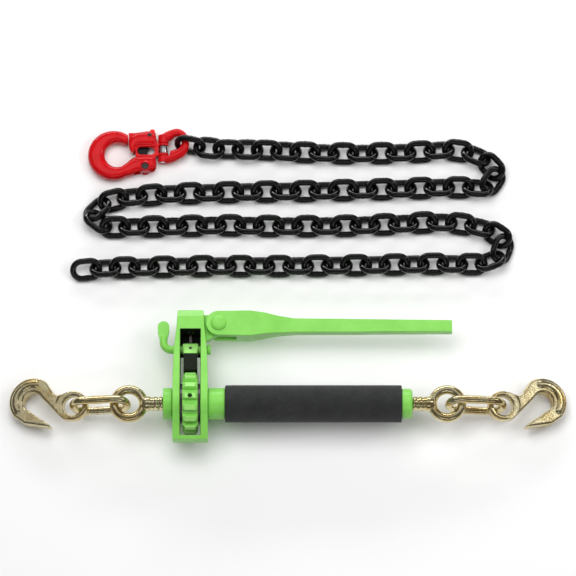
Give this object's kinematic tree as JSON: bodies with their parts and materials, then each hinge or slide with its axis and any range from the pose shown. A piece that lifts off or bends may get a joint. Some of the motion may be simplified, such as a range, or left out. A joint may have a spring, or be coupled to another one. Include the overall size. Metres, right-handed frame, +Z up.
{
  "type": "ratchet load binder with lashing chain",
  "caption": "Ratchet load binder with folding handle, foam barrel grip and grab hooks, laid out with its black lashing chain that ends in a red swivelling sling hook.",
  "frame": {"origin": "centre of the bounding box on the floor it lies on", "axes": "+X along the binder's barrel towards the grip end, +Y from the binder towards the chain, +Z up"},
  "size_m": [0.6672, 0.3996, 0.0748],
  "materials": {
    "green_enamel": "satin",
    "yellow_zinc": "satin",
    "foam_grip": "matte",
    "dark_steel": "satin",
    "red_enamel": "gloss",
    "black_chain": "gloss",
    "bright_steel": "satin"
  },
  "bodies": {
    "housing": {"ratchet_housing": "green_enamel", "detent_spring": "dark_steel"},
    "handle": {"handle_lever": "green_enamel", "handle_pivot_pin": "green_enamel", "handle_washer": "dark_steel"},
    "pawl": {"pawl": "green_enamel", "pawl_lever": "green_enamel", "pawl_cross_pin": "dark_steel", "lever_end_cap": "green_enamel"},
    "barrel": {"barrel": "green_enamel", "bearing_collar": "green_enamel", "ratchet_gear": "green_enamel", "gear_roll_pin": "dark_steel", "thrust_washer_left": "dark_steel", "thrust_washer_right": "dark_steel", "barrel_grip": "foam_grip"},
    "left_screw": {"eye_bolt_left": "yellow_zinc", "stop_collar_left": "dark_steel"},
    "left_link": {"connecting_link_left": "yellow_zinc"},
    "left_hook": {"grab_hook_left": "yellow_zinc"},
    "right_screw": {"eye_bolt_right": "yellow_zinc", "stop_collar_right": "dark_steel"},
    "right_link": {"connecting_link_right": "yellow_zinc"},
    "right_hook": {"grab_hook_right": "yellow_zinc"},
    "sling_head": {"sling_hook_head": "red_enamel", "sling_pivot_pin": "dark_steel", "trigger_pin": "dark_steel", "trigger_spring": "bright_steel"},
    "bowl": {"sling_hook_bowl": "red_enamel"},
    "trigger": {"latch_trigger": "red_enamel"},
    "coupling": {"coupling_half": "red_enamel", "coupling_load_pin": "bright_steel", "coupling_lock_sleeve": "bright_steel"},
    "plunger": {"detent_plunger": "dark_steel"},
    "chain_01": {"chain_link_01": "black_chain"},
    "chain_02": {"chain_link_02": "black_chain"},
    "chain_03": {"chain_run_03": "black_chain"},
    "chain_04": {"chain_run_04": "black_chain"},
    "chain_05": {"chain_run_05": "black_chain"},
    "chain_06": {"chain_run_06": "black_chain"},
    "chain_07": {"chain_run_07": "black_chain"},
    "chain_08": {"chain_run_08": "black_chain"},
    "chain_09": {"chain_run_09": "black_chain"},
    "chain_10": {"chain_run_10": "black_chain"},
    "chain_11": {"chain_run_11": "black_chain"},
    "chain_12": {"chain_run_12": "black_chain"},
    "chain_13": {"chain_run_13": "black_chain"},
    "chain_14": {"chain_run_14": "black_chain"},
    "chain_15": {"chain_run_15": "black_chain"},
    "chain_16": {"chain_run_16": "black_chain"},
    "chain_17": {"chain_run_17": "black_chain"},
    "chain_18": {"chain_run_18": "black_chain"},
    "chain_19": {"chain_run_19": "black_chain"},
    "chain_20": {"chain_run_20": "black_chain"},
    "chain_21": {"chain_run_21": "black_chain"},
    "chain_22": {"chain_link_22": "black_chain"},
    "chain_23": {"chain_link_23": "black_chain"}
  },
  "joints": [
    {"name": "handle_fold", "type": "hinge", "parent": "housing", "child": "handle", "pos_m": [-0.0828, -0.0568, 0.0375], "axis": [0, 0, 1], "range_deg": [0, 90]},
    {"name": "pawl_select", "type": "hinge", "parent": "housing", "child": "pawl", "pos_m": [-0.1164, -0.0866, 0.0375], "axis": [1, 0, 0], "range_deg": [-14, 14]},
    {"name": "barrel_spin", "type": "hinge", "parent": "housing", "child": "barrel", "pos_m": [-0.1164, -0.1536, 0.0375], "axis": [1, 0, 0], "range_deg": [0, 5400]},
    {"name": "left_screw_travel", "type": "slide", "parent": "housing", "child": "left_screw", "axis": [-1, 0, 0], "range_m": [0, 0.0901]},
    {"name": "right_screw_travel", "type": "slide", "parent": "housing", "child": "right_screw", "axis": [1, 0, 0], "range_m": [0, 0.0901]},
    {"name": "left_link_swing", "type": "hinge", "parent": "left_screw", "child": "left_link", "pos_m": [-0.192, -0.1536, 0.0375], "axis": [0, 0, 1], "range_deg": [-35, 35]},
    {"name": "right_link_swing", "type": "hinge", "parent": "right_screw", "child": "right_link", "pos_m": [0.192, -0.1536, 0.0375], "axis": [0, 0, 1], "range_deg": [-35, 35]},
    {"name": "left_hook_swing", "type": "hinge", "parent": "left_link", "child": "left_hook", "pos_m": [-0.25591, -0.1536, 0.02623], "axis": [0, 0, 1], "range_deg": [-35, 35]},
    {"name": "right_hook_swing", "type": "hinge", "parent": "right_link", "child": "right_hook", "pos_m": [0.25591, -0.1536, 0.02623], "axis": [0, 0, 1], "range_deg": [-35, 35]},
    {"name": "bowl_open", "type": "hinge", "parent": "sling_head", "child": "bowl", "pos_m": [-0.1728, 0.1511, 0.0087], "axis": [0, 0, 1], "range_deg": [0, 18]},
    {"name": "trigger_press", "type": "hinge", "parent": "sling_head", "child": "trigger", "pos_m": [-0.1674, 0.1911, 0.0087], "axis": [0, 0, 1], "range_deg": [-12, 12], "stiffness_Nm_per_rad": 0.5},
    {"name": "coupling_swing", "type": "hinge", "parent": "sling_head", "child": "coupling", "pos_m": [-0.1508, 0.1667, 0.0087], "axis": [0, 1, 0], "range_deg": [-15, 15]},
    {"name": "plunger_press", "type": "slide", "parent": "housing", "child": "plunger", "axis": [0, 1, 0], "range_m": [0, 0.0015], "stiffness_N_per_m": 800},
    {"name": "chain_lift", "type": "slide", "parent": "housing", "child": "sling_head", "axis": [0, 0, 1], "range_m": [0, 0.3]},
    {"name": "chain_bend_01", "type": "hinge", "parent": "coupling", "child": "chain_01", "pos_m": [-0.1296, 0.1812, 0.01336], "axis": [0, 1, 0], "range_deg": [-6, 14]},
    {"name": "chain_bend_02", "type": "hinge", "parent": "chain_01", "child": "chain_02", "pos_m": [-0.10689, 0.17647, 0.01336], "axis": [0, -1, 0], "range_deg": [-20, 20]},
    {"name": "chain_bend_03", "type": "hinge", "parent": "chain_02", "child": "chain_03", "pos_m": [-0.08382, 0.17395, 0.01258], "axis": [0, 1, 0], "range_deg": [-20, 20]},
    {"name": "chain_bend_04", "type": "hinge", "parent": "chain_03", "child": "chain_04", "pos_m": [0.0089, 0.17082, 0.01053], "axis": [0, -1, 0], "range_deg": [-20, 20]},
    {"name": "chain_bend_05", "type": "hinge", "parent": "chain_04", "child": "chain_05", "pos_m": [0.10168, 0.16964, 0.0093], "axis": [0, 1, 0], "range_deg": [-20, 20]},
    {"name": "chain_bend_06", "type": "hinge", "parent": "chain_05", "child": "chain_06", "pos_m": [0.17121, 0.17237, 0.0093], "axis": [0, -1, 0], "range_deg": [-20, 20]},
    {"name": "chain_bend_07", "type": "hinge", "parent": "chain_06", "child": "chain_07", "pos_m": [0.21766, 0.12608, 0.0093], "axis": [0, 1, 0], "range_deg": [-20, 20]},
    {"name": "chain_bend_08", "type": "hinge", "parent": "chain_07", "child": "chain_08", "pos_m": [0.10171, 0.12361, 0.0093], "axis": [0, -1, 0], "range_deg": [-20, 20]},
    {"name": "chain_bend_09", "type": "hinge", "parent": "chain_08", "child": "chain_09", "pos_m": [0.00893, 0.12136, 0.0093], "axis": [0, 1, 0], "range_deg": [-20, 20]},
    {"name": "chain_bend_10", "type": "hinge", "parent": "chain_09", "child": "chain_10", "pos_m": [-0.08385, 0.11985, 0.0093], "axis": [0, -1, 0], "range_deg": [-20, 20]},
    {"name": "chain_bend_11", "type": "hinge", "parent": "chain_10", "child": "chain_11", "pos_m": [-0.17649, 0.11535, 0.0093], "axis": [0, 1, 0], "range_deg": [-20, 20]},
    {"name": "chain_bend_12", "type": "hinge", "parent": "chain_11", "child": "chain_12", "pos_m": [-0.19712, 0.076, 0.0093], "axis": [0, -1, 0], "range_deg": [-20, 20]},
    {"name": "chain_bend_13", "type": "hinge", "parent": "chain_12", "child": "chain_13", "pos_m": [-0.08115, 0.07826, 0.0093], "axis": [0, 1, 0], "range_deg": [-20, 20]},
    {"name": "chain_bend_14", "type": "hinge", "parent": "chain_13", "child": "chain_14", "pos_m": [0.01165, 0.07707, 0.0093], "axis": [0, -1, 0], "range_deg": [-20, 20]},
    {"name": "chain_bend_15", "type": "hinge", "parent": "chain_14", "child": "chain_15", "pos_m": [0.10442, 0.0788, 0.0093], "axis": [0, 1, 0], "range_deg": [-20, 20]},
    {"name": "chain_bend_16", "type": "hinge", "parent": "chain_15", "child": "chain_16", "pos_m": [0.22009, 0.07836, 0.0093], "axis": [0, -1, 0], "range_deg": [-15, 15]},
    {"name": "chain_bend_17", "type": "hinge", "parent": "chain_16", "child": "chain_17", "pos_m": [0.2094, 0.02924, 0.0093], "axis": [0, 1, 0], "range_deg": [-20, 20]},
    {"name": "chain_bend_18", "type": "hinge", "parent": "chain_17", "child": "chain_18", "pos_m": [0.11662, 0.02838, 0.0093], "axis": [0, -1, 0], "range_deg": [-20, 20]},
    {"name": "chain_bend_19", "type": "hinge", "parent": "chain_18", "child": "chain_19", "pos_m": [0.02383, 0.02705, 0.0093], "axis": [0, 1, 0], "range_deg": [-20, 20]},
    {"name": "chain_bend_20", "type": "hinge", "parent": "chain_19", "child": "chain_20", "pos_m": [-0.06897, 0.0268, 0.0093], "axis": [0, -1, 0], "range_deg": [-20, 20]},
    {"name": "chain_bend_21", "type": "hinge", "parent": "chain_20", "child": "chain_21", "pos_m": [-0.16176, 0.02558, 0.0093], "axis": [0, 1, 0], "range_deg": [-20, 20]},
    {"name": "chain_bend_22", "type": "hinge", "parent": "chain_21", "child": "chain_22", "pos_m": [-0.20815, 0.02466, 0.0093], "axis": [0, -1, 0], "range_deg": [-20, 20]},
    {"name": "chain_bend_23", "type": "hinge", "parent": "chain_22", "child": "chain_23", "pos_m": [-0.23132, 0.02349, 0.0093], "axis": [0, 1, 0], "range_deg": [-20, 20]}
  ],
  "couplings": [
    {"joint": "left_screw_travel", "follows": "barrel_spin", "m_per_rad": 0.00095493},
    {"joint": "right_screw_travel", "follows": "barrel_spin", "m_per_rad": 0.00095493}
  ]
}
